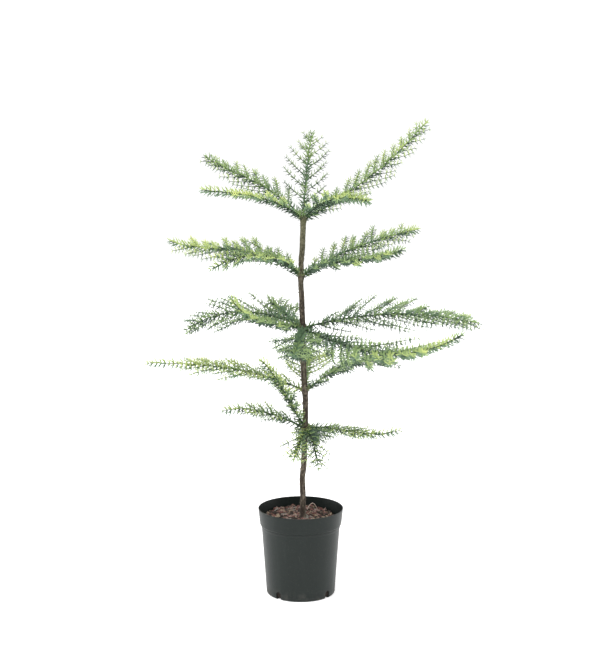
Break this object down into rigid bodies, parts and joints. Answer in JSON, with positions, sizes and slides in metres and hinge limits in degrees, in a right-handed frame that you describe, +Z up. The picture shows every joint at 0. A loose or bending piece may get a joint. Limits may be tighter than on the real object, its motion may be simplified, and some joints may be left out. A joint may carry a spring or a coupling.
{
  "type": "potted norfolk island pine",
  "caption": "Young potted conifer with a slim trunk and five airy tiers of flat needle fronds, in a round tapered nursery pot with a thick rim band.",
  "frame": {"origin": "middle of the pot's flat underside", "axes": "+Z up along the trunk, +X to the plant's right, +Y to its back"},
  "size_m": [0.7495, 0.5138, 1.0551],
  "materials": {
    "pot_plastic": "satin dark green-black moulded plastic",
    "potting_bark": "coarse red-brown bark chips and fibre",
    "bark": "rough grey-brown young bark",
    "needles": "satin green awl-shaped needles, yellow-green at the tips"
  },
  "bodies": {
    "root": {"pot": "pot_plastic", "soil": "potting_bark", "trunk": "bark", "bough_top_left_back": "bark", "bough_top_left_front": "bark", "bough_top_back": "bark", "bough_top_right_back": "bark", "bough_top_right_front": "bark", "bough_upper_left_back": "bark", "bough_upper_left_front": "bark", "bough_upper_right_back": "bark", "bough_upper_right_front": "bark", "bough_middle_left": "bark", "bough_middle_left_back": "bark", "bough_middle_left_front": "bark", "bough_middle_right_front": "bark", "bough_middle_right": "bark", "bough_middle_front": "bark", "bough_lower_left": "bark", "bough_lower_right": "bark", "bough_lower_back": "bark", "bough_lowest_left": "bark", "bough_lowest_left_front": "bark", "bough_lowest_right": "bark", "bough_lowest_front": "bark", "bough_lowest_right_front": "bark", "bough_lowest_back": "bark", "foliage_top_left_back": "needles", "foliage_top_left_front": "needles", "foliage_top_back": "needles", "foliage_top_right_back": "needles", "foliage_top_right_front": "needles", "foliage_upper_left_back": "needles", "foliage_upper_left_front": "needles", "foliage_upper_right_back": "needles", "foliage_upper_right_front": "needles", "foliage_middle_left": "needles", "foliage_middle_left_back": "needles", "foliage_middle_left_front": "needles", "foliage_middle_right_front": "needles", "foliage_middle_right": "needles", "foliage_middle_front": "needles", "foliage_lower_left": "needles", "foliage_lower_right": "needles", "foliage_lower_back": "needles", "foliage_lowest_left": "needles", "foliage_lowest_left_front": "needles", "foliage_lowest_right": "needles", "foliage_lowest_front": "needles", "foliage_lowest_right_front": "needles", "foliage_lowest_back": "needles"}
  },
  "joints": []
}
